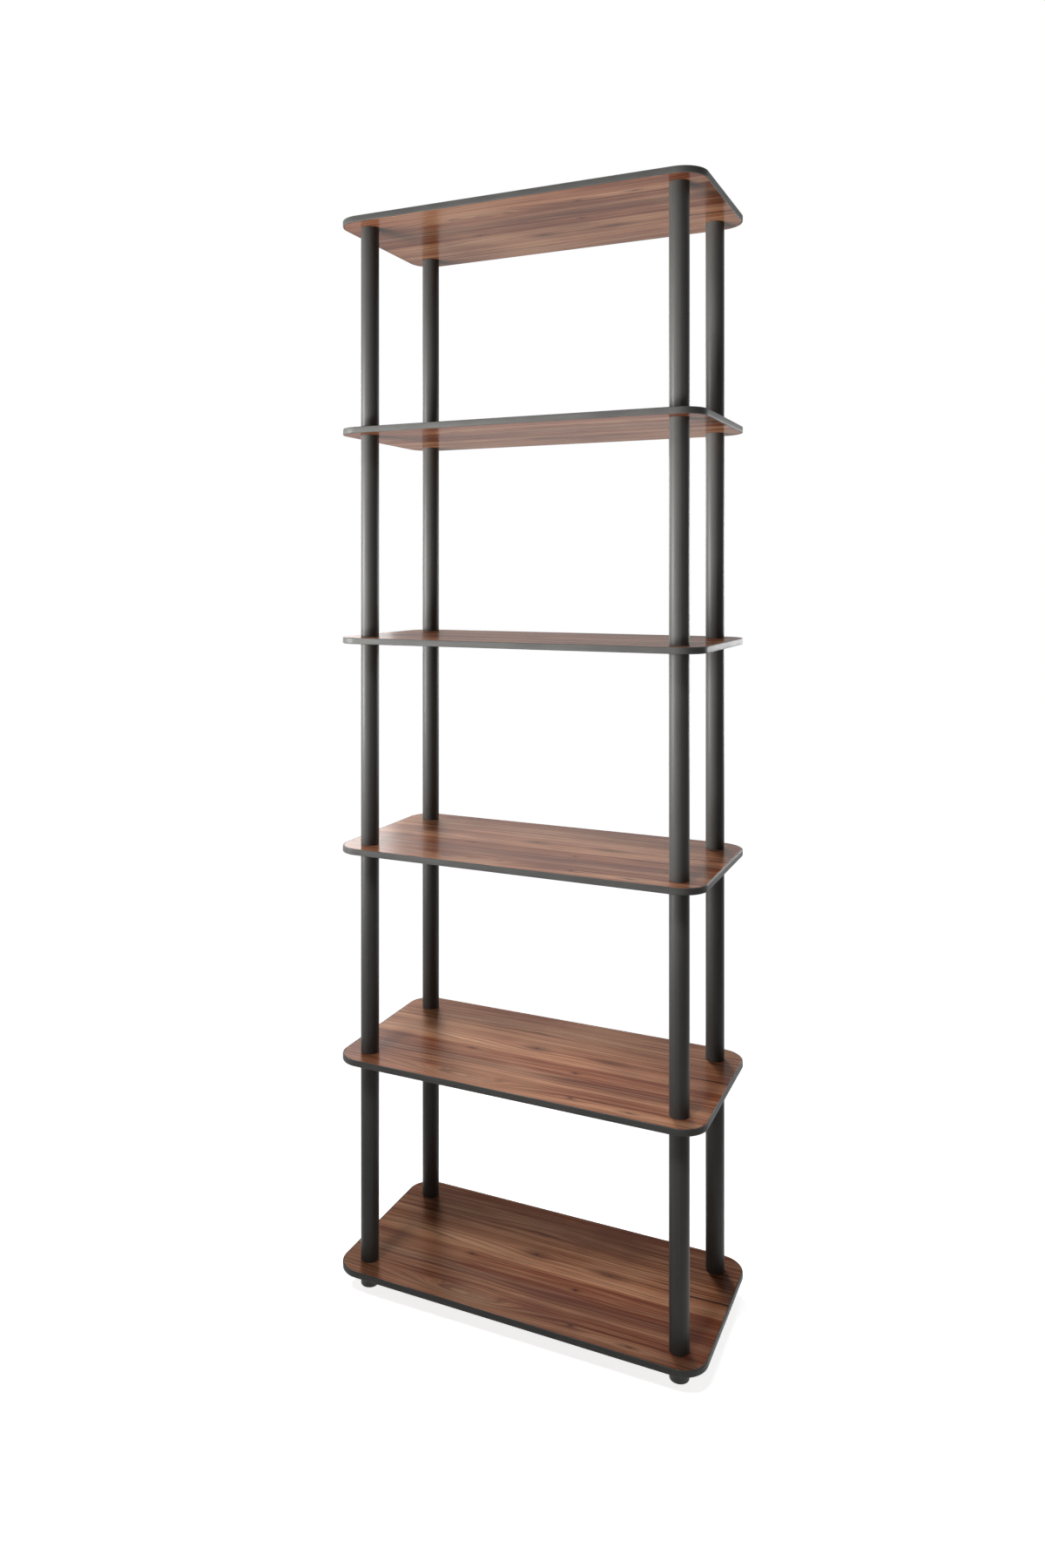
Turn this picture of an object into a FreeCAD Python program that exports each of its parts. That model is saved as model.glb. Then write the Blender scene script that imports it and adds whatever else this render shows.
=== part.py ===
import FreeCAD, Part
import os

# Open bookcase: laminated boards clamped between short tubes that screw together through the boards.
# Millimetres, +Z up. The origin is on the floor in the middle of the footprint, and -Y is the front.

# Overall sizes
OVERALL_WIDTH = 600.0
OVERALL_DEPTH = 300.0
OVERALL_HEIGHT = 1730.0
SHELF_COUNT = 6

# Boards and the plastic band round their edges
BOARD_THICKNESS = 10.0
CORNER_RADIUS = 40.0  # outside of the band
BAND_THICKNESS = 2.0
BAND_ROUNDING = 1.5
BAND_SEAM = 0.2  # butt joint in the middle of the back edge
STUD_HOLE_CLEARANCE = 0.5  # radial, round a stud that passes through a board

# Tubes
TUBE_DIAMETER = 29.5
TUBE_WALL = 1.6
TUBE_END_CHAMFER = 0.3
POST_INSET = 43.0  # from the outside of the band to a post's axis, on both sides of the corner

# Moulded plugs pressed into the tubes
PLUG_FIT = 0.05  # radial, between a plug and its tube
PLUG_LENGTH = 30.0
PLUG_WEB = 4.0
PLUG_SKIRT = 2.0

# Screw joint: a coarse moulded thread, drawn as rings
THREAD_DIAMETER = 12.0
THREAD_DEPTH = 0.9
THREAD_PITCH = 3.0
THREAD_CREST = 0.6  # flat on top of a ring
THREAD_FLANK = 0.9  # length of a ring's slope along the stud
THREAD_CLEARANCE = 0.1  # radial, between a crest and the socket it screws into
STUD_REACH = 18.0  # length of a stud inside the socket below its board
SOCKET_RUNOUT = 2.0  # room below the stud's tip
SOCKET_FLOOR = 3.0
BOSS_WALL = 2.0  # round a socket

# Feet and the screw caps on the top board
FOOT_HEIGHT = 30.0
FOOT_DIAMETER = 29.0
FOOT_WALL = 3.0
FOOT_ROUNDING = 1.5
CAP_HEIGHT = 3.0
CAP_DIAMETER = 29.5
CAP_ROUNDING = 1.2

# Worked out from the sizes above
TIER_COUNT = SHELF_COUNT - 1
BOARDS_HEIGHT = SHELF_COUNT * BOARD_THICKNESS
TUBE_LENGTH = (OVERALL_HEIGHT - FOOT_HEIGHT - CAP_HEIGHT - BOARDS_HEIGHT) / TIER_COUNT
TIER_PITCH = BOARD_THICKNESS + TUBE_LENGTH
STUD_LENGTH = BOARD_THICKNESS + STUD_REACH
PLUG_RADIUS = TUBE_DIAMETER / 2 - TUBE_WALL - PLUG_FIT
THREAD_RADIUS = THREAD_DIAMETER / 2
SOCKET_RADIUS = THREAD_RADIUS + THREAD_CLEARANCE
SOCKET_DEPTH = STUD_REACH + SOCKET_RUNOUT
BOSS_RADIUS = SOCKET_RADIUS + BOSS_WALL
POST_X = OVERALL_WIDTH / 2 - POST_INSET
POST_Y = OVERALL_DEPTH / 2 - POST_INSET
POSTS = {
    "front_left": (-POST_X, -POST_Y),
    "front_right": (POST_X, -POST_Y),
    "back_left": (-POST_X, POST_Y),
    "back_right": (POST_X, POST_Y),
}
UP = FreeCAD.Vector(0, 0, 1)
NEAR = 0.01  # two sizes this close are the same


def board_bottom(level):
    """Height of a board's underside. Level 1 is the lowest board."""
    return FOOT_HEIGHT + (level - 1) * TIER_PITCH


def board_top(level):
    return board_bottom(level) + BOARD_THICKNESS


def placed(shape, post, height):
    """A copy of a shape that was made on the Z axis, moved to a post at a height."""
    copy = shape.copy()
    copy.translate(FreeCAD.Vector(*POSTS[post], height))
    return copy


def turned(outline):
    """The solid that an outline of (radius, height) points sweeps round the Z axis."""
    corners = [FreeCAD.Vector(radius, 0, height) for radius, height in outline]
    face = Part.Face(Part.makePolygon(corners + corners[:1]))
    return face.revolve(FreeCAD.Vector(), UP, 360)


def rounded_slab(margin):
    """A board-thick slab with rounded corners, its sides that far inside the overall outline."""
    width = OVERALL_WIDTH - 2 * margin
    depth = OVERALL_DEPTH - 2 * margin
    slab = Part.makeBox(width, depth, BOARD_THICKNESS, FreeCAD.Vector(-width / 2, -depth / 2, 0))
    uprights = [edge for edge in slab.Edges if edge.BoundBox.ZLength > NEAR]
    return slab.makeFillet(CORNER_RADIUS - margin, uprights)


def round_rim(solid, radius, height, rounding):
    """Rounds the circular edge of a turned solid that has that radius and height."""
    rims = [
        edge
        for edge in solid.Edges
        if isinstance(edge.Curve, Part.Circle)
        and abs(edge.Curve.Radius - radius) < NEAR
        and abs(edge.Curve.Center.z - height) < NEAR
    ]
    return solid.makeFillet(rounding, rims)


def shelf_board():
    """Laminated board inside its band, with a clearance hole for the stud at each post."""
    board = rounded_slab(BAND_THICKNESS)
    hole = Part.makeCylinder(THREAD_RADIUS + STUD_HOLE_CLEARANCE, BOARD_THICKNESS)
    return board.cut([placed(hole, post, 0) for post in POSTS])


def edge_band():
    """Strip round the board with its outer edges rounded, and a butt seam at the back."""
    outside = rounded_slab(0)
    rims = [edge for edge in outside.Edges if edge.BoundBox.ZLength < NEAR]
    outside = outside.makeFillet(BAND_ROUNDING, rims)
    seam = Part.makeBox(BAND_SEAM, OVERALL_DEPTH, BOARD_THICKNESS, FreeCAD.Vector(-BAND_SEAM / 2, 0, 0))
    return outside.cut([rounded_slab(BAND_THICKNESS), seam])


def tube():
    """Plain tube with broken outer edges, its lower end at height 0."""
    outer = TUBE_DIAMETER / 2
    inner = outer - TUBE_WALL
    return turned(
        [
            (inner, 0),
            (outer - TUBE_END_CHAMFER, 0),
            (outer, TUBE_END_CHAMFER),
            (outer, TUBE_LENGTH - TUBE_END_CHAMFER),
            (outer - TUBE_END_CHAMFER, TUBE_LENGTH),
            (inner, TUBE_LENGTH),
        ]
    )


def stud_outline():
    """Outline of a stud that hangs down from height 0, from its tip on the axis up to its root."""
    root = THREAD_RADIUS - THREAD_DEPTH
    outline = [(0, -STUD_LENGTH), (root, -STUD_LENGTH)]
    for ring in range(int(STUD_REACH / THREAD_PITCH)):
        crest = -STUD_LENGTH + ring * THREAD_PITCH + THREAD_PITCH / 2
        outline += [
            (root, crest - THREAD_CREST / 2 - THREAD_FLANK),
            (THREAD_RADIUS, crest - THREAD_CREST / 2),
            (THREAD_RADIUS, crest + THREAD_CREST / 2),
            (root, crest + THREAD_CREST / 2 + THREAD_FLANK),
        ]
    return outline + [(root, 0)]


def stud_plug():
    """Plug for a tube's lower end: a cup inside the tube, and the stud that goes through the board."""
    inside = PLUG_RADIUS - PLUG_SKIRT
    cup = [
        (PLUG_RADIUS, 0),
        (PLUG_RADIUS, PLUG_LENGTH),
        (inside, PLUG_LENGTH),
        (inside, PLUG_WEB),
        (0, PLUG_WEB),
    ]
    return turned(stud_outline() + cup)


def socket_plug():
    """Plug for a tube's upper end, with its top at height 0 and the blind socket for a stud."""
    inside = PLUG_RADIUS - PLUG_SKIRT
    boss_end = -SOCKET_DEPTH - SOCKET_FLOOR
    return turned(
        [
            (SOCKET_RADIUS, 0),
            (PLUG_RADIUS, 0),
            (PLUG_RADIUS, -PLUG_LENGTH),
            (inside, -PLUG_LENGTH),
            (inside, -PLUG_WEB),
            (BOSS_RADIUS, -PLUG_WEB),
            (BOSS_RADIUS, boss_end),
            (0, boss_end),
            (0, -SOCKET_DEPTH),
            (SOCKET_RADIUS, -SOCKET_DEPTH),
        ]
    )


def foot():
    """Moulded foot: a closed cup on the floor, with a socket boss for the lowest stud."""
    outer = FOOT_DIAMETER / 2
    inside = outer - FOOT_WALL
    floor = FOOT_HEIGHT - SOCKET_DEPTH - SOCKET_FLOOR
    body = turned(
        [
            (0, 0),
            (outer, 0),
            (outer, FOOT_HEIGHT),
            (inside, FOOT_HEIGHT),
            (inside, floor),
            (BOSS_RADIUS, floor),
            (BOSS_RADIUS, FOOT_HEIGHT),
            (SOCKET_RADIUS, FOOT_HEIGHT),
            (SOCKET_RADIUS, FOOT_HEIGHT - SOCKET_DEPTH),
            (0, FOOT_HEIGHT - SOCKET_DEPTH),
        ]
    )
    return round_rim(body, outer, 0, FOOT_ROUNDING)


def top_cap():
    """Screw cap: a low round head on the top board and a stud into the tube below it."""
    outer = CAP_DIAMETER / 2
    body = turned(stud_outline() + [(outer, 0), (outer, CAP_HEIGHT), (0, CAP_HEIGHT)])
    return round_rim(body, outer, CAP_HEIGHT, CAP_ROUNDING)


def group(shape, height):
    """One copy of a shape on every post, as separate solids in one node."""
    return Part.makeCompound([placed(shape, post, height) for post in POSTS])


def make_nodes():
    """Every node of the bookcase by name, from the floor up."""
    nodes = {}
    for post in POSTS:
        nodes[f"foot_{post}"] = placed(foot(), post, 0)
    for level in range(1, SHELF_COUNT + 1):
        lift = FreeCAD.Vector(0, 0, board_bottom(level))
        nodes[f"shelf_board_{level}"] = shelf_board().translated(lift)
        nodes[f"edge_band_{level}"] = edge_band().translated(lift)
    for tier in range(1, TIER_COUNT + 1):
        for post in POSTS:
            nodes[f"tube_{tier}_{post}"] = placed(tube(), post, board_top(tier))
        nodes[f"stud_plugs_{tier}"] = group(stud_plug(), board_top(tier))
        nodes[f"socket_plugs_{tier}"] = group(socket_plug(), board_bottom(tier + 1))
    for post in POSTS:
        nodes[f"top_cap_{post}"] = placed(top_cap(), post, board_top(SHELF_COUNT))
    return nodes


os.makedirs("parts", exist_ok=True)
for name, shape in make_nodes().items():
    shape.exportStep(f"parts/{name}.step")
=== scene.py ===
import math

import bmesh
import bpy
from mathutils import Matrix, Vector


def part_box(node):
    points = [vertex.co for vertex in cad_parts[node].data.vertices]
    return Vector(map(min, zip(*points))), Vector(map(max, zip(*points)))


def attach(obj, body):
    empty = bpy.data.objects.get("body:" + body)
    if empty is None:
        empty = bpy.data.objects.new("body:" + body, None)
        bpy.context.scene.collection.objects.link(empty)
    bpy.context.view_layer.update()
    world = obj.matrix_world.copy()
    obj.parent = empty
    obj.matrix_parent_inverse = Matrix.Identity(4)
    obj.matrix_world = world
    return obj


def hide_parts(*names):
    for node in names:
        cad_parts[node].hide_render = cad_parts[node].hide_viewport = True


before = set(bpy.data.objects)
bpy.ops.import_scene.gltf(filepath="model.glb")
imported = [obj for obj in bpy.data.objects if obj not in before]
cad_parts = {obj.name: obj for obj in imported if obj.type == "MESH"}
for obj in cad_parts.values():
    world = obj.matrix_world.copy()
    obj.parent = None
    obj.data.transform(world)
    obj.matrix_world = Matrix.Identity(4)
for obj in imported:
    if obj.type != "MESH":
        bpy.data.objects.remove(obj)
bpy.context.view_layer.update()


# Feet
# Four short round stubs of moulded black plastic, closed at the floor and rounded at the rim.
# The stud of the lowest tube comes down through the bottom board and screws into each of them.

class Field:
    """A socket of a material's node tree. Arithmetic on fields adds Math nodes to that tree."""

    def __init__(self, socket):
        self.socket = socket
        self.tree = socket.id_data

    def add(self, kind, settings, sockets, output=0):
        """Adds a node: its settings first, then its sockets' values or links. Gives one output."""
        node = self.tree.nodes.new(kind)
        for name, value in settings.items():
            if name == "stops":
                set_stops(node.color_ramp, value)
            else:
                setattr(node, name, value)
        for name, value in sockets.items():
            if isinstance(value, Field):
                self.tree.links.new(value.socket, node.inputs[name])
            else:
                node.inputs[name].default_value = value
        return Field(node.outputs[output]) if node.outputs else None

    def axes(self):
        """The three numbers of a vector."""
        node = self.add("ShaderNodeSeparateXYZ", {}, {0: self}).socket.node
        return [Field(output) for output in node.outputs]

    def maths(self, operation, *values):
        return self.add("ShaderNodeMath", {"operation": operation}, dict(enumerate(values)))

    def __add__(self, other):
        return self.maths("ADD", self, other)

    def __radd__(self, other):
        return self.maths("ADD", other, self)

    def __sub__(self, other):
        return self.maths("SUBTRACT", self, other)

    def __rsub__(self, other):
        return self.maths("SUBTRACT", other, self)

    def __mul__(self, other):
        return self.maths("MULTIPLY", self, other)

    def __rmul__(self, other):
        return self.maths("MULTIPLY", other, self)

    def __truediv__(self, other):
        return self.maths("DIVIDE", self, other)

    def __rtruediv__(self, other):
        return self.maths("DIVIDE", other, self)


def set_stops(ramp, stops):
    """Gives a colour ramp its stops, each a place from 0 to 1 and a colour."""
    while len(ramp.elements) < len(stops):
        ramp.elements.new(1.0)
    for element, (place, colour) in zip(ramp.elements, stops):
        element.position = place
        element.color = (*colour, 1.0)


def new_finish(name):
    """An empty material, and the place of each point of its surface."""
    finish = bpy.data.materials.new(name)
    finish.use_nodes = True
    finish.node_tree.nodes.clear()
    start = finish.node_tree.nodes.new("ShaderNodeNewGeometry")
    return finish, Field(start.outputs["Position"])


def noise(x, y, z, detail=2.0, roughness=0.5):
    """Smooth noise from 0 to 1 over three fields or numbers, at least one of them a field."""
    field = next(value for value in (x, y, z) if isinstance(value, Field))
    where = field.add("ShaderNodeCombineXYZ", {}, {"X": x, "Y": y, "Z": z})
    sockets = {"Vector": where, "Scale": 1.0, "Detail": detail, "Roughness": roughness}
    return field.add("ShaderNodeTexNoise", {}, sockets)


def rise(field, low, high):
    """0 below low, 1 above high and a soft step between them."""
    sockets = {"Value": field, "From Min": low, "From Max": high}
    return field.add("ShaderNodeMapRange", {"interpolation_type": "SMOOTHSTEP"}, sockets)


def blend(share, first, second):
    """A colour that goes from first to second as share goes from 0 to 1."""
    return share.add("ShaderNodeMix", {"data_type": "RGBA"}, {0: share, 6: first, 7: second}, 2)


def close_finish(place, colour, roughness, height, relief, **others):
    """Ends a material in one shader. Relief is how far the height field stands out, in metres."""
    normal = place.add("ShaderNodeBump", {}, {"Height": height, "Strength": 1.0, "Distance": relief})
    sockets = {"Base Color": colour, "Roughness": roughness, "Normal": normal}
    sockets |= {name.replace("_", " "): value for name, value in others.items()}
    shader = place.add("ShaderNodeBsdfPrincipled", {}, sockets)
    place.add("ShaderNodeOutputMaterial", {}, {"Surface": shader})


def moulded_plastic(name, dark, pale, grain):
    """Fine-textured moulded plastic. Grain is the size of its texture in metres."""
    finish, place = new_finish(name)
    x, y, z = place.axes()
    texture = noise(x / grain, y / grain, z / grain, detail=3.0)
    cloud = noise(x * 60, y * 60, z * 60, detail=3.0)
    colour = blend(rise(0.6 * cloud + 0.4 * texture, 0.3, 0.7), (*dark, 1), (*pale, 1))
    close_finish(place, colour, 0.46 + 0.16 * cloud, texture, grain / 12)
    return finish


def arc(radius, height, rounding, start, stop, steps=6):
    """Points of a rounded edge about its centre at (radius, height), between two angles in degrees."""
    angles = [math.radians(start + (stop - start) * step / steps) for step in range(steps + 1)]
    return [(radius + rounding * math.cos(a), height + rounding * math.sin(a)) for a in angles]


def turned(outline, steps=72):
    """A closed mesh from (radius, height) points turned about the Z axis.
    The outline runs from axis to axis, or closes on itself where it stays off the axis."""
    body = bmesh.new()
    turns = [2 * math.pi * step / steps for step in range(steps)]
    rings = []
    for radius, height in outline:
        around = turns if radius else [0.0]
        spots = [(radius * math.cos(turn), radius * math.sin(turn), height) for turn in around]
        rings.append([body.verts.new(spot) for spot in spots])
    pairs = list(zip(rings, rings[1:]))
    if outline[0][0]:
        pairs.append((rings[-1], rings[0]))
    for one, other in pairs:
        for step in range(steps):
            after = step + 1
            corners = [one[step % len(one)], one[after % len(one)]]
            corners += [other[after % len(other)], other[step % len(other)]]
            body.faces.new(list(dict.fromkeys(corners)))
    bmesh.ops.recalc_face_normals(body, faces=body.faces)
    return body


SHARP_ANGLE = 32  # degrees between two faces, from which their edge stays sharp


def show(body, name, place, finish, node):
    """Makes a mesh into a piece that stands for a CAD node, smooth but for its real edges."""
    mesh = bpy.data.meshes.new(name)
    body.to_mesh(mesh)
    body.free()
    mesh.shade_smooth()
    mesh.set_sharp_from_angle(angle=math.radians(SHARP_ANGLE))
    mesh.materials.append(finish)
    piece = bpy.data.objects.new(name, mesh)
    piece.location = place
    bpy.context.scene.collection.objects.link(piece)
    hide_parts(node)
    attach(piece, "root")


def base_point(node):
    """The middle of the underside of a CAD node's box, and the box's size."""
    low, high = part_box(node)
    return Vector(((low.x + high.x) / 2, (low.y + high.y) / 2, low.z)), high - low


POSTS = ("front_left", "front_right", "back_left", "back_right")
FOOT_RIM = 0.0015
FOOT_TOP_EDGE = 0.0004
FOOT_DARK = (0.016, 0.0155, 0.015)
FOOT_PALE = (0.028, 0.027, 0.026)
FOOT_GRAIN = 0.0006

foot_plastic = moulded_plastic("foot_plastic", FOOT_DARK, FOOT_PALE, FOOT_GRAIN)
for post in POSTS:
    place, size = base_point(f"foot_{post}")
    radius = size.x / 2
    outline = [(0, 0)]
    outline += arc(radius - FOOT_RIM, FOOT_RIM, FOOT_RIM, -90, 0)
    outline += arc(radius - FOOT_TOP_EDGE, size.z - FOOT_TOP_EDGE, FOOT_TOP_EDGE, 0, 90, steps=3)
    outline += [(0, size.z)]
    show(turned(outline), f"moulded_foot_{post}", place, foot_plastic, f"foot_{post}")


# Shelf boards
# Thin pressed-wood boards with a satin walnut print pressed on both faces, drilled at the four posts.
# All have the same printed figure, with its grain along the board, and each its own cloudy shading.

def oval(x, y, centre, reach):
    """1 at a centre, falling smoothly to 0 about that far along and across the grain."""
    along = (x - centre[0]) / reach[0]
    across = (y - centre[1]) / reach[1]
    return along.maths("EXPONENT", -1 * (along * along + across * across))


# Places on the board in metres from its middle, along and across the grain
KNOTS = (
    # centre, how far the grain parts round it, size of its stain, size of its dark heart
    ((0.074, -0.042), (0.020, 0.008), (0.008, 0.005), (0.0034, 0.0023)),
    ((0.097, -0.124), (0.030, 0.007), (0.009, 0.004), (0.0040, 0.0014)),
    ((0.190, -0.133), (0.040, 0.009), (0.018, 0.004), (0.0060, 0.0010)),
    ((-0.015, 0.019), (0.050, 0.014), (0.024, 0.011), (0.0040, 0.0022)),
    ((-0.112, -0.024), (0.026, 0.008), (0.010, 0.004), (0.0030, 0.0013)),
    ((0.112, 0.016), (0.040, 0.008), (0.034, 0.007), (0.0040, 0.0008)),
)
FLAMES = (
    # centre, reach and rise of the long figures where growth lines close on themselves
    ((-0.085, -0.128), (0.110, 0.015), 0.024),
    ((-0.190, 0.012), (0.140, 0.018), -0.015),
    ((-0.010, 0.092), (0.120, 0.018), -0.017),
)
UNDERSIDE_SHIFT = -0.030
GRAIN_DRIFT = 0.030  # how far the grain lines wander across the board
GRAIN_RIPPLE = 0.0065
RINGS_PER_METRE = 150
RING_WAVER = 2.6  # how many ring widths the lines shift over the board
SPLIT_ACROSS = 0.022
SPLIT_WIDTH = 0.0014
BOARD_HALF_DEPTH = 0.150
PRINT_RELIEF = 0.00004

WALNUT_DARK = (0.056, 0.017, 0.009)
WALNUT_PURPLE = (0.105, 0.034, 0.020)
WALNUT_RED = (0.175, 0.046, 0.019)
WALNUT_MID = (0.236, 0.072, 0.030)
WALNUT_TAN = (0.318, 0.107, 0.051)
WALNUT_GOLD = (0.324, 0.122, 0.056)
WALNUT_HONEY = (0.385, 0.168, 0.084)
WALNUT_PALE = (0.500, 0.286, 0.168)
WALNUT_BLACK = (0.012, 0.006, 0.004)


def walnut_decor():
    finish, place = new_finish("walnut_laminate")
    x, y, z = place.axes()
    facing = place.add("ShaderNodeNewGeometry", {}, {}, "Normal").axes()[2]
    y = y + UNDERSIDE_SHIFT * facing.maths("LESS_THAN", facing, 0.0)

    # The grain lines wander along the board, part round the knots and close in the flames
    drift = noise(x * 1.7, y * 2.6, 3.1) - 0.5
    ripple = noise(x * 8, y * 16, 7.7, detail=3.0) - 0.5
    grain = y + GRAIN_DRIFT * drift + GRAIN_RIPPLE * ripple
    for centre, reach, rise_across in FLAMES:
        grain = grain + rise_across * oval(x, y, centre, reach)
    for centre, reach, *_ in KNOTS:
        grain = grain - 0.85 * oval(x, grain, centre, reach) * (grain - centre[1])

    # Broad bands of colour from the front edge to the back one
    wander = noise(x * 1.1, grain * 11, 1.3, detail=3.0) - 0.5
    across = (grain + BOARD_HALF_DEPTH) / (2 * BOARD_HALF_DEPTH) + 0.14 * wander
    stops = [
        (0.00, WALNUT_TAN),
        (0.10, WALNUT_TAN),
        (0.16, WALNUT_RED),
        (0.21, WALNUT_RED),
        (0.25, WALNUT_PURPLE),
        (0.30, WALNUT_RED),
        (0.37, WALNUT_MID),
        (0.48, WALNUT_GOLD),
        (0.56, WALNUT_MID),
        (0.66, WALNUT_HONEY),
        (0.80, WALNUT_HONEY),
        (0.92, WALNUT_RED),
        (1.00, WALNUT_MID),
    ]
    colour = across.add("ShaderNodeValToRGB", {"stops": stops}, {0: across})

    # Broad growth zones, and growth rings that darken slowly and end at a sharp edge
    zones = noise(x * 0.9, grain * 34, 6.6, detail=3.0)
    rings = RINGS_PER_METRE * grain + RING_WAVER * noise(x * 0.8, grain * 17, 9.5, detail=2.0)
    ring = rings.maths("FRACT", rings)
    late_wood = rise(ring, 0.35, 0.90) * (1 - rise(ring, 0.93, 1.0))
    distinct = rise(noise(x * 1.6, grain * 21, 4.0), 0.36, 0.62)
    colour = blend(0.82 * rise(zones, 0.46, 0.63), colour, (*WALNUT_RED, 1))
    colour = blend(0.46 * rise(1 - zones, 0.49, 0.66), colour, (*WALNUT_PALE, 1))
    for centre, reach, _ in FLAMES:
        colour = blend(0.42 * oval(x, y, centre, reach), colour, (*WALNUT_PALE, 1))
    colour = blend((0.10 + 0.42 * distinct) * late_wood, colour, (*WALNUT_DARK, 1))

    # Finer growth lines, fibre streaks and short dark pores
    bands = noise(x * 2.0, grain * 170, 5.2, detail=4.0, roughness=0.6)
    streaks = noise(x * 5, grain * 520, 8.4, detail=3.0, roughness=0.6)
    pore = rise(noise(x * 55, grain * 1700, 2.6), 0.60, 0.70)
    colour = blend(0.46 * rise(bands, 0.48, 0.63), colour, (*WALNUT_DARK, 1))
    colour = blend(0.34 * rise(1 - bands, 0.50, 0.67), colour, (*WALNUT_PALE, 1))
    colour = blend(0.46 * rise(streaks, 0.50, 0.65), colour, (*WALNUT_DARK, 1))
    colour = blend(0.34 * rise(1 - streaks, 0.50, 0.65), colour, (*WALNUT_PALE, 1))
    colour = blend(0.45 * pore, colour, (*WALNUT_DARK, 1))

    # Cloudy shading across the fibres, which changes from board to board
    cloud = noise(x * 4.5, y * 8, z * 7, detail=2.0)
    colour = blend(0.55 * rise(cloud, 0.48, 0.72), colour, (*WALNUT_PURPLE, 1))
    colour = blend(0.26 * rise(1 - cloud, 0.48, 0.72), colour, (*WALNUT_PALE, 1))

    # Knots are a soft stain with a small dark heart
    for centre, _, stain, heart in KNOTS:
        colour = blend(0.68 * oval(x, y + 0.003 * ripple, centre, stain), colour, (*WALNUT_DARK, 1))
        core = oval(x, y + 0.002 * ripple, centre, heart)
        colour = blend(0.85 * rise(core, 0.25, 0.75), colour, (*WALNUT_BLACK, 1))

    # A dark split along the grain near the right end
    off_split = (grain - SPLIT_ACROSS) / (SPLIT_WIDTH * (0.40 + rise(x, 0.16, 0.27)))
    split = off_split.maths("EXPONENT", -1 * (off_split * off_split))
    broken = rise(noise(x * 24, 0.0, 4.4) + 0.7 * rise(x, 0.18, 0.26), 0.45, 0.75)
    colour = blend(rise(x, 0.09, 0.14) * split * broken, colour, (*WALNUT_BLACK, 1))

    # A clear satin face over the print, nearly matt from above and with more sheen at a slanting view
    roughness = 0.42 + 0.10 * pore + 0.10 * noise(x * 9, y * 9, 6.0, detail=3.0)
    glancing = place.add("ShaderNodeLayerWeight", {}, {"Blend": 0.5}, "Facing")
    sheen = 0.12 + 0.30 * rise(glancing, 0.48, 0.72) - 0.12 * rise(glancing, 0.80, 0.92)
    clear_face = {"Coat_Weight": sheen, "Coat_Roughness": 0.20, "Specular_IOR_Level": 0.0}
    close_finish(place, colour, roughness, streaks - 0.6 * pore, PRINT_RELIEF, **clear_face)
    return finish


def rounded_loop(body, half, radius, height, steps=20):
    """Corner points of a rounded rectangle, anticlockwise from the middle of the back edge."""
    loop = []
    for sign_x, sign_y, start in ((-1, 1, 90), (-1, -1, 180), (1, -1, 270), (1, 1, 0)):
        centre = (sign_x * (half[0] - radius), sign_y * (half[1] - radius))
        for step in range(steps + 1):
            turn = math.radians(start + 90 * step / steps)
            spot = (centre[0] + radius * math.cos(turn), centre[1] + radius * math.sin(turn), height)
            loop.append(body.verts.new(spot))
    return loop


def bridge(body, one, other):
    """A strip of faces between two closed loops of as many points."""
    for step in range(len(one)):
        after = (step + 1) % len(one)
        body.faces.new((one[step], one[after], other[after], other[step]))


def fill_between(body, loops):
    """A flat face inside the first loop, with the other loops as holes in it."""
    edges = []
    for loop in loops:
        edges += [body.edges.get((one, other)) for one, other in zip(loop, loop[1:] + loop[:1])]
    bmesh.ops.triangle_fill(body, use_beauty=True, edges=edges)


def drilled_board(size, corner, eased, holes, hole_radius, steps=32):
    """A rounded board with eased rims and a round hole at each of those places."""
    body = bmesh.new()
    rims = []
    for inset, height in ((eased, 0), (0, eased), (0, size.z - eased), (eased, size.z)):
        half = (size.x / 2 - inset, size.y / 2 - inset)
        rims.append(rounded_loop(body, half, corner - inset, height))
    for one, other in zip(rims, rims[1:]):
        bridge(body, one, other)
    turns = [2 * math.pi * step / steps for step in range(steps)]
    circle = [(hole_radius * math.cos(turn), hole_radius * math.sin(turn)) for turn in turns]
    ends = ([rims[0]], [rims[-1]])
    for hole in holes:
        pair = []
        for loops, height in zip(ends, (0, size.z)):
            loops.append([body.verts.new((hole.x + x, hole.y + y, height)) for x, y in circle])
            pair.append(loops[-1])
        bridge(body, *pair)
    for loops in ends:
        fill_between(body, loops)
    bmesh.ops.recalc_face_normals(body, faces=body.faces)
    return body


SHELF_LEVELS = range(1, 7)
CORNER_RADIUS = 0.040  # outside of the edge band
BAND_THICKNESS = 0.002
BOARD_EASED = 0.0004
STUD_HOLE_RADIUS = 0.0065

walnut = walnut_decor()
for level in SHELF_LEVELS:
    node = f"shelf_board_{level}"
    place, size = base_point(node)
    holes = [base_point(f"foot_{post}")[0] - place for post in POSTS]
    board = drilled_board(size, CORNER_RADIUS - BAND_THICKNESS, BOARD_EASED, holes, STUD_HOLE_RADIUS)
    show(board, f"walnut_shelf_{level}", place, walnut, node)


# Edge bands
# A strip of charcoal plastic glued round the edge of each board, its two outer edges rounded over.
# The strip's ends meet in a butt seam in the middle of the back edge.

BAND_DARK = (0.052, 0.051, 0.049)
BAND_PALE = (0.076, 0.075, 0.070)
CHARCOAL_GLOSS = 0.15
CHARCOAL_RELIEF = 0.00003


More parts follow.
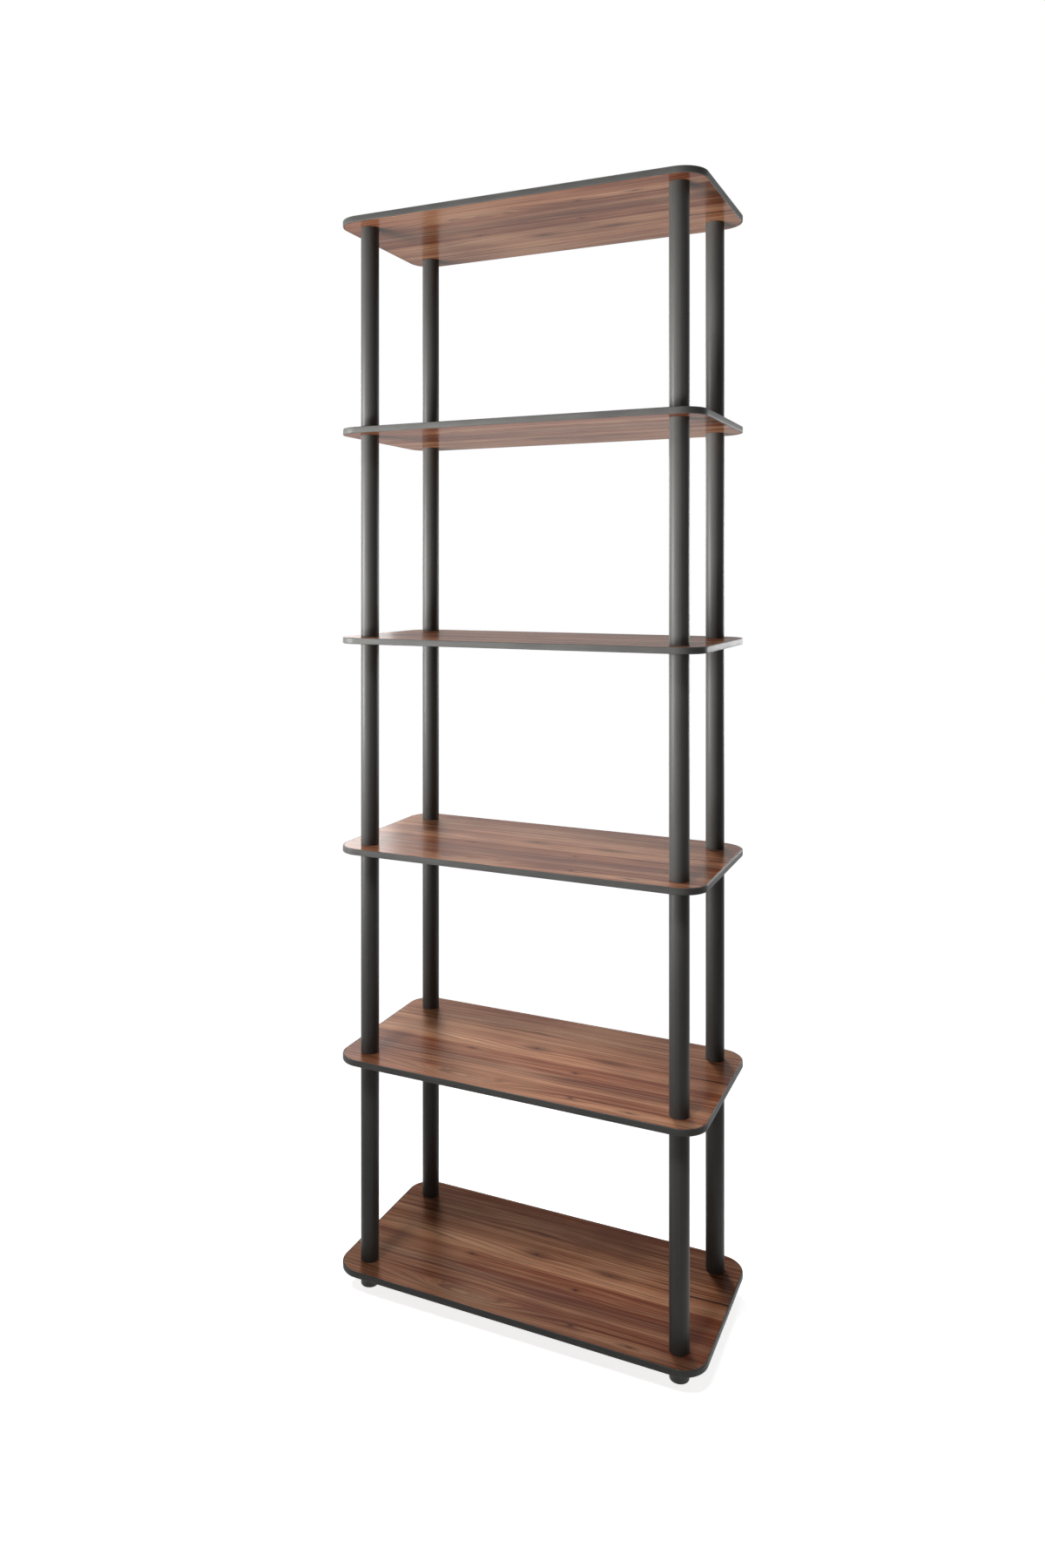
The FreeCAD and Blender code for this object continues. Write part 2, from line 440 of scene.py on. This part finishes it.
def banding_plastic():
    finish, place = new_finish("edge_band")
    x, y, z = place.axes()
    lines = noise(x * 5, y * 5, z * 2600, detail=3.0)
    cloud = noise(x * 18, y * 18, z * 40, detail=4.0)
    specks = noise(x * 1500, y * 1500, z * 1500)
    shade = rise(0.45 * lines + 0.35 * cloud + 0.20 * specks, 0.35, 0.65)
    colour = blend(shade, (*BAND_DARK, 1), (*BAND_PALE, 1))
    roughness = 0.40 + 0.14 * cloud
    height = 0.7 * lines + 0.3 * specks
    close_finish(place, colour, roughness, height, CHARCOAL_RELIEF, Specular_IOR_Level=CHARCOAL_GLOSS)
    return finish


def wrapped_band(size, corner, thickness, rounding, eased, seam):
    """A strip round a board: its section follows the rounded outline and stops at the seam."""
    body = bmesh.new()
    section = arc(rounding, rounding, rounding, 180, 270)[::-1]
    section = [(thickness, eased), (thickness - eased, 0)] + section
    section += [(inset, size.z - height) for inset, height in section[::-1]]
    strips = []
    for inset, height in section:
        half = (size.x / 2 - inset, size.y / 2 - inset)
        start = body.verts.new((-seam / 2, half[1], height))
        loop = rounded_loop(body, half, corner - inset, height)
        end = body.verts.new((seam / 2, half[1], height))
        strips.append([start, *loop, end])
    for one, other in zip(strips, strips[1:] + strips[:1]):
        for step in range(len(one) - 1):
            body.faces.new((one[step], one[step + 1], other[step + 1], other[step]))
    body.faces.new([strip[0] for strip in strips])
    body.faces.new([strip[-1] for strip in strips])
    bmesh.ops.recalc_face_normals(body, faces=body.faces)
    return body


BAND_ROUNDING = 0.0015
BAND_EASED = 0.0004
BAND_SEAM = 0.0002

banding = banding_plastic()
for level in SHELF_LEVELS:
    node = f"edge_band_{level}"
    place, size = base_point(node)
    band = wrapped_band(size, CORNER_RADIUS, BAND_THICKNESS, BAND_ROUNDING, BAND_EASED, BAND_SEAM)
    show(band, f"wrapped_band_{level}", place, banding, node)


# Tubes
# Extruded tubes of charcoal plastic, four to a tier, their ends cut square and the edges broken.
# Each stands on one board and carries the next, and screws to the tube below through the board.

TUBE_DARK = (0.050, 0.049, 0.046)
TUBE_PALE = (0.071, 0.069, 0.065)


def extruded_tube_finish():
    finish, place = new_finish("tube")
    x, y, z = place.axes()
    lines = noise(x * 900, y * 900, z * 2.5, detail=3.0)
    cloud = noise(x * 25, y * 25, z * 6, detail=4.0)
    specks = noise(x * 1800, y * 1800, z * 1800)
    shade = rise(0.40 * lines + 0.40 * cloud + 0.20 * specks, 0.34, 0.66)
    colour = blend(shade, (*TUBE_DARK, 1), (*TUBE_PALE, 1))
    roughness = 0.40 + 0.14 * cloud
    height = 0.8 * lines + 0.2 * specks
    close_finish(place, colour, roughness, height, CHARCOAL_RELIEF, Specular_IOR_Level=CHARCOAL_GLOSS)
    return finish


TIERS = range(1, 6)
TUBE_WALL = 0.0016
TUBE_EDGE = 0.0003

tube_finish = extruded_tube_finish()
for tier in TIERS:
    for post in POSTS:
        node = f"tube_{tier}_{post}"
        place, size = base_point(node)
        radius = size.x / 2
        outline = [(radius - TUBE_WALL, 0)]
        outline += arc(radius - TUBE_EDGE, TUBE_EDGE, TUBE_EDGE, -90, 0, steps=3)
        outline += arc(radius - TUBE_EDGE, size.z - TUBE_EDGE, TUBE_EDGE, 0, 90, steps=3)
        outline += [(radius - TUBE_WALL, size.z)]
        show(turned(outline), f"post_tube_{tier}_{post}", place, tube_finish, node)


# Stud plugs and socket plugs
# Moulded black plugs pressed into the ends of every tube, hidden once the bookcase stands.
# The stud of one goes down through a board into the socket of the next.

PLUG_DARK = (0.012, 0.012, 0.012)
PLUG_PALE = (0.026, 0.026, 0.026)
PLUG_GRAIN = 0.0008

plug_plastic = moulded_plastic("plug_plastic", PLUG_DARK, PLUG_PALE, PLUG_GRAIN)
for tier in TIERS:
    for kind in ("stud_plugs", "socket_plugs"):
        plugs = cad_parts[f"{kind}_{tier}"]
        plugs.data.materials.clear()
        plugs.data.materials.append(plug_plastic)


# Screw caps
# Low round caps of satin charcoal plastic on the top board, one over each post.
# A stud under the head goes through the board into the top tube and clamps the board down.

CAP_ROUNDING = 0.0012
CAP_CROWN = 0.0003
CAP_DARK = (0.026, 0.0255, 0.0245)
CAP_PALE = (0.042, 0.041, 0.039)
CAP_GRAIN = 0.0006

cap_plastic = moulded_plastic("cap_plastic", CAP_DARK, CAP_PALE, CAP_GRAIN)
board_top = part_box("shelf_board_6")[1].z
for post in POSTS:
    node = f"top_cap_{post}"
    place, size = base_point(node)
    radius = size.x / 2
    head = size.z - (board_top - place.z)
    shoulder = head - CAP_CROWN
    outline = [(0, 0), (radius, 0)]
    outline += arc(radius - CAP_ROUNDING, shoulder - CAP_ROUNDING, CAP_ROUNDING, 0, 90)
    outline += [(radius / 2, head - CAP_CROWN / 4), (0, head)]
    place.z = board_top
    show(turned(outline), f"screw_cap_{post}", place, cap_plastic, node)


# Studio
# A plain white floor and surround. The main lamp stands on the left, and a low one lights the undersides.
# A weak lamp hangs high in front, three stand behind, and one hangs over the top board.
# The camera looks from the right of the front, level, with the frame shifted down to take in the feet.

FLOOR_HALF = 9.0
FLOOR_GLOW = 0.84
FLOOR_FADE = (0.45, 1.3)  # from the object's middle, where the floor goes over into the white surround
FLOOR_COLOUR = (0.82, 0.82, 0.82, 1)
SURROUND_LIGHT = 0.05


def seen_directly(field):
    """1 for what the camera sees, itself or in gloss and glass, and 0 for light on the object."""
    path = field.add("ShaderNodeLightPath", {}, {}).socket.node
    kinds = ("Is Camera Ray", "Is Glossy Ray", "Is Transmission Ray")
    direct, glossy, through = [Field(path.outputs[kind]) for kind in kinds]
    return direct.maths("MAXIMUM", direct.maths("MAXIMUM", direct, glossy), through)


floor_finish, place = new_finish("studio_floor")
away = place.add("ShaderNodeVectorMath", {"operation": "LENGTH"}, {0: place}, "Value")
whiteness = FLOOR_GLOW + (1 - FLOOR_GLOW) * rise(away, *FLOOR_FADE)
glow = blend(whiteness * seen_directly(place), (0, 0, 0, 1), (1, 1, 1, 1))
sockets = {"Base Color": FLOOR_COLOUR, "Roughness": 0.9, "Specular IOR Level": 0.0}
sockets |= {"Emission Color": glow, "Emission Strength": 1.0}
shader = place.add("ShaderNodeBsdfPrincipled", {}, sockets)
place.add("ShaderNodeOutputMaterial", {}, {"Surface": shader})

floor_mesh = bpy.data.meshes.new("studio_floor")
corners = [(-1, -1), (1, -1), (1, 1), (-1, 1)]
floor_mesh.from_pydata([(FLOOR_HALF * x, FLOOR_HALF * y, 0) for x, y in corners], [], [(0, 1, 2, 3)])
floor_mesh.materials.append(floor_finish)
floor = bpy.data.objects.new("studio_floor", floor_mesh)
bpy.context.scene.collection.objects.link(floor)

world = bpy.data.worlds.new("studio")
world.use_nodes = True
world.node_tree.nodes.clear()
surround = Field(world.node_tree.nodes.new("ShaderNodeLightPath").outputs["Is Camera Ray"])
strength = SURROUND_LIGHT + (1 - SURROUND_LIGHT) * seen_directly(surround)
background = surround.add("ShaderNodeBackground", {}, {"Color": (1, 1, 1, 1), "Strength": strength})
surround.add("ShaderNodeOutputWorld", {}, {"Surface": background})
bpy.context.scene.world = world


def soft_lamp(name, place, target, size, power, spread):
    """A soft box that faces a target. Spread is the angle that its grid lets through, in degrees."""
    lamp = bpy.data.lights.new(name, "AREA")
    lamp.shape = "RECTANGLE"
    lamp.size, lamp.size_y = size
    lamp.energy = power
    lamp.spread = math.radians(spread)
    holder = bpy.data.objects.new(name, lamp)
    holder.location = place
    holder.rotation_euler = (Vector(target) - Vector(place)).to_track_quat("-Z", "Y").to_euler()
    bpy.context.scene.collection.objects.link(holder)


LAMPS = (
    # name, place, point that it faces, size, power in watts, spread in degrees
    ("left_lamp", (-2.3, -1.45, 1.05), (0, 0, 1.20), (1.0, 0.8), 11.6, 36),
    ("front_lamp", (-0.3, -1.5, 3.0), (0, 0, 0.44), (1.0, 0.6), 1.2, 18),
    ("low_lamp", (-1.0, -2.0, 0.30), (0, 0, 1.68), (1.8, 0.6), 7.8, 44),
    ("back_lamp", (-1.2, 1.9, 2.4), (0, 0, 0.42), (0.9, 0.6), 1.75, 20),
    ("back_left_lamp", (-1.9, 1.9, 1.4), (0, 0, 0.9), (1.0, 1.0), 1.8, 40),
    ("back_right_lamp", (1.0, 2.6, 1.0), (0, 0, 0.9), (1.0, 1.0), 2.5, 44),
    ("top_lamp", (0.0, 0.1, 3.3), (0, 0, 1.73), (0.9, 0.6), 2.5, 44),
)
for lamp in LAMPS:
    soft_lamp(*lamp)

PHOTO_HEIGHT = 1800
PHOTO_WIDTH = 1200
FOCAL_PIXELS = 1318
AIM_PIXEL = (540, 657)  # where the level line of sight meets the picture
CAMERA_PLACE = (0.698, -1.724, 1.157)
CAMERA_YAW = 0.4464

lens = bpy.data.cameras.new("camera")
lens.sensor_width = 36
lens.lens = FOCAL_PIXELS * lens.sensor_width / PHOTO_HEIGHT
lens.shift_x = (PHOTO_WIDTH / 2 - AIM_PIXEL[0]) / PHOTO_HEIGHT
lens.shift_y = (AIM_PIXEL[1] - PHOTO_HEIGHT / 2) / PHOTO_HEIGHT
camera = bpy.data.objects.new("camera", lens)
camera.location = CAMERA_PLACE
camera.rotation_euler = (math.pi / 2, 0, CAMERA_YAW)
bpy.context.scene.collection.objects.link(camera)
bpy.context.scene.camera = camera
bpy.context.scene.view_settings.view_transform = "Standard"
